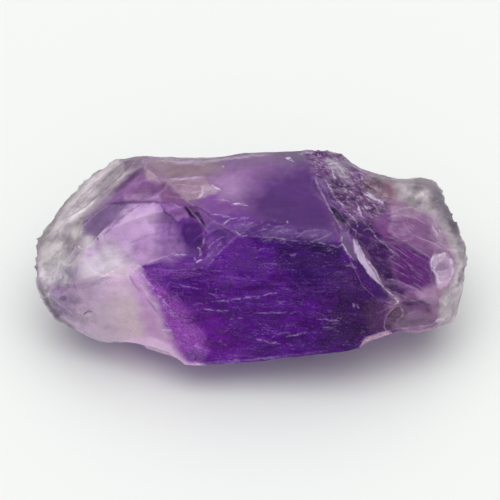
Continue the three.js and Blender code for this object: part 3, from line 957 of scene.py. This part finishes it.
# Short pale dashes, wisps and specks in the front face, and frosted streaks along its left side.
patches = ramp(grain(0, 1.6, 0.8), 0.46, 0.6)
dashes = thin_lines(grain(-3, 1.5, 0.34, 3, 0.5, 1.2), 0.014) * patches
wisps = ramp(grain(-4, 0.6, 0.2, 5, 0.7, 1.4), 0.52, 0.76) * ramp(grain(0, 1.1, 0.7), 0.42, 0.6)
specks = ramp(grain(0, 0.14, 0.1, 2), 0.6, 0.72) * ramp(grain(0, 1.1, 1.1), 0.5, 0.62)
streaks = ramp(grain(-55, 0.7, 0.3, 5, 0.7, 1.6), 0.42, 0.7) * painted("frost")
front_marks = (dashes * 0.35 + wisps * 0.4 + specks * 0.4) * front + streaks * 0.4
# Salt in the rind, splinters in the crumbled shoulder, striae in the shell below it. No line is unbroken.
salt = ramp(grain(20, 0.26, 0.16, 3), 0.58, 0.7) * rind
splinters = ramp(grain(-30, 0.36, 0.18, 4), 0.5, 0.66) * crumb
fans = ramp(grain(-32, 3.6, 0.18), 0.52, 0.66) * striae
broken = ramp(grain(0, 0.5, 0.4, 3), 0.38, 0.58, 0.1, 1)
worn = painted("ridge") * ramp(grain(0, 0.7, 0.7, 4), 0.4, 0.65)
hatching = ramp(grain(24, 0.9, 0.22), 0.52, 0.68) * painted("bevel")
in_shells = hatching * 0.18 + splinters * 0.4 + fans * 0.22 + salt * 0.25
marks = front_marks + in_shells + painted("white") * broken + worn * (1 - front) * 0.12
marks = marks.math("MINIMUM", 1.0)

# The shoulder's chips are each lighter or darker than the next, and the whole stone is a little cloudy. Its
# valleys are darkened with painted shade and its rind with grit; its cracks are dark, and so are the lines of
# painted shade; a painted dark edge runs along its outline; its bruises are white, or violet in the front
# face, and painted highlights run white along the sliver and the far edge.
# painted shade in the valleys, and grit in the rind
VALLEY_SHADE_AND_GRIT = (0.05, 0.025, 0.08, 1)
# the dark of the cracks, and painted shade along the shade lines
CRACK_AND_SHADE = (0.03, 0.002, 0.075, 1)
# painted shade along the outline
OUTLINE_SHADE = (0.13, 0.125, 0.14, 1)
# white bruises, and painted highlights along the sliver and the far edge
WHITE_BRUISE_AND_HIGHLIGHT = (0.7, 0.6, 0.76, 1)
VIOLET_BRUISE = (0.5, 0.3, 0.68, 1)
chip = quartz.node("Mapping", {}, {"Vector": in_view, "Rotation": (0, 0, 0.6), "Scale": (1.1, 2.4, 2.4)})
chipped = quartz.node("TexVoronoi", {}, {"Vector": chip, "Scale": 1.0}, output=1)
cell = quartz.node("SeparateColor", {}, {0: chipped})
shade = quartz.node("Attribute", {"attribute_name": "tint"})
clouds = ramp(grain(10, 1.3, 0.9, 5), 0.3, 0.7, -0.08, 0.08)
rind_clouds = ramp(grain(50, 2, 0.8, 5, 0.6), 0.35, 0.65, -0.24, 0.24) * rind
dust = ramp(grain(0, 0.1, 0.09, 3), 0.3, 0.7, -0.2, 0.2) * (front * 1.6 + 0.4)
curls = ramp(grain(-8, 0.45, 0.28, 5, 0.7, 1.2), 0.35, 0.65, -0.25, 0.25)
front_clouds = (ramp(grain(-6, 1.7, 0.8, 5), 0.3, 0.7, -0.25, 0.25) + curls) * front
mottle = clouds + dust + rind_clouds + front_clouds + (cell - 0.45) * crumb * 0.8
greyer = 1 - cell * crumb * 0.5
lighter = quartz.node("HueSaturation", {}, {"Value": mottle + 1, "Saturation": greyer, "Color": shade})
grit = ramp(grain(0, 0.3, 0.22, 3), 0.56, 0.66) * rind
# Painted shade darkens the valleys, and grit darkens the rind.
darker = blend(painted("valley") * 0.4 + grit * 0.25, lighter, VALLEY_SHADE_AND_GRIT)
# Cracks, and painted shade along the shade lines.
cracks_and_shade = blend(painted("dark") * (broken * 0.4 + 0.6), darker, CRACK_AND_SHADE)
# A painted dark edge along the outline.
rimmed = blend(painted("rim") * 0.7, cracks_and_shade, OUTLINE_SHADE)
# Bruises, and painted highlights along the sliver and the far edge.
bruises_and_highlights = blend((front + painted("frost")).math("MINIMUM", 1.0), WHITE_BRUISE_AND_HIGHLIGHT, VIOLET_BRUISE)
colour = blend(marks, rimmed, bruises_and_highlights)

# Clear quartz and milky quartz, as milky as the washes say, and milkiest in a bruise or a crack.
QUARTZ_IOR = 1.544
MILKIEST = 0.97
milky = painted("milk") + (MILKIEST - painted("milk")) * (marks + painted("dark"))
milky = milky.math("MINIMUM", MILKIEST)
gloss = ramp(marks, 0, 1, 0.15, 0.5) + rind * 0.25
polish = (1 - front * 0.9) * (1 - rind * 0.6) * 0.08
furrows = grain(50, 0.6, 0.25, 4) * rind * 0.6
lumps = furrows + grain(-30, 1.2, 0.14) * striae * 0.6 + grain(-3, 1, 0.16) * front * 0.2
all_over = grain(0, 0.25, 0.2, 4) * 0.08
bumpy = quartz.node("Bump", {}, {"Strength": 0.3, "Distance": 0.1 * MM, "Height": all_over + lumps})
glass = quartz.node("BsdfPrincipled", {}, {
    "Base Color": (1, 1, 1, 1),
    "Roughness": gloss,
    "IOR": QUARTZ_IOR,
    "Specular IOR Level": 0.2,
    "Specular Tint": (0.5, 0.3, 0.6, 1),
    "Transmission Weight": 1.0,
    "Coat Weight": polish,
    "Normal": bumpy,
})
veil = quartz.node("BsdfPrincipled", {}, {
    "Base Color": colour,
    "Roughness": gloss,
    "IOR": QUARTZ_IOR,
    "Specular IOR Level": 0.1,
    "Coat Weight": polish,
    "Subsurface Weight": 0.8,
    "Subsurface Radius": (1.0, 0.9, 1.0),
    "Subsurface Scale": 0.5 * MM,
    "Normal": bumpy,
})
body = quartz.node("MixShader", {}, {"Fac": milky, 1: glass, 2: veil})
depth = quartz.node("VolumeAbsorption", {}, {"Color": (0.64, 0.0, 0.9, 1), "Density": 130.0})
quartz.node("OutputMaterial", {}, {"Surface": body, "Volume": depth})
stone.data.materials.append(quartz.owner)

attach(stone, "root")
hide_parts("amethyst")


# The table: a plain pale sheet of paper under the stone.
bpy.ops.object.select_all(action="DESELECT")
bpy.ops.mesh.primitive_plane_add(size=2)
table = bpy.context.object
table.name = "table"
paper = Finish(bpy.data.materials.new("pale paper"))
sheet = paper.node("BsdfPrincipled", {}, {"Base Color": (0.86, 0.88, 0.86, 1), "Roughness": 0.8})
paper.node("OutputMaterial", {}, {"Surface": sheet})
table.data.materials.append(paper.owner)


# The light: a wide soft lamp overhead, leaning a little to the back, in a room that is dimmer below it.
LAMP_LEAN = math.radians(12)
LAMP_EDGE = 0.6  # how far up, 0 at eye level to 1 overhead, the lamp begins
LAMP_FULL = 0.95
LAMP_STRENGTH = 2.0
ROOM_STRENGTH = 0.5
room = bpy.data.worlds.new("white room")
bpy.context.scene.world = room
walls = Finish(room)
direction = walls.node("TexCoord")
leant = walls.node("Mapping", {}, {"Vector": direction, "Rotation": (LAMP_LEAN, 0, 0)})
height = walls.node("SeparateXYZ", {}, {0: leant}, output=2)
strengths = {1: LAMP_EDGE, 2: LAMP_FULL, 3: ROOM_STRENGTH, 4: LAMP_STRENGTH}
bright = walls.node("MapRange", {"interpolation_type": "SMOOTHSTEP"}, {0: height, **strengths})
wall = walls.node("Background", {}, {"Color": (1, 1, 1, 1), "Strength": bright})
walls.node("OutputWorld", {}, {"Surface": wall})


# The camera: a long lens that looks down at the stone as the photograph does.
optics = bpy.data.cameras.new("camera")
optics.sensor_width = 36  # mm
optics.lens = optics.sensor_width * EYE_DISTANCE * PX_PER_MM / PICTURE_PX
optics.clip_start = 10 * MM
camera = bpy.data.objects.new("camera", optics)
bpy.context.scene.collection.objects.link(camera)
aim_right = (PICTURE_PX / 2 - MIDDLE_PX[0]) / PX_PER_MM
aim_up = VIEW_MIDDLE + (MIDDLE_PX[1] - PICTURE_PX / 2) / PX_PER_MM
camera.location = (TO_THE_RIGHT * aim_right + UP_THE_VIEW * aim_up + TO_THE_EYE * EYE_DISTANCE) * MM
camera.rotation_mode = "QUATERNION"
camera.rotation_quaternion = TO_THE_EYE.to_track_quat("Z", "Y")
bpy.context.scene.camera = camera
bpy.context.scene.view_settings.view_transform = "Standard"
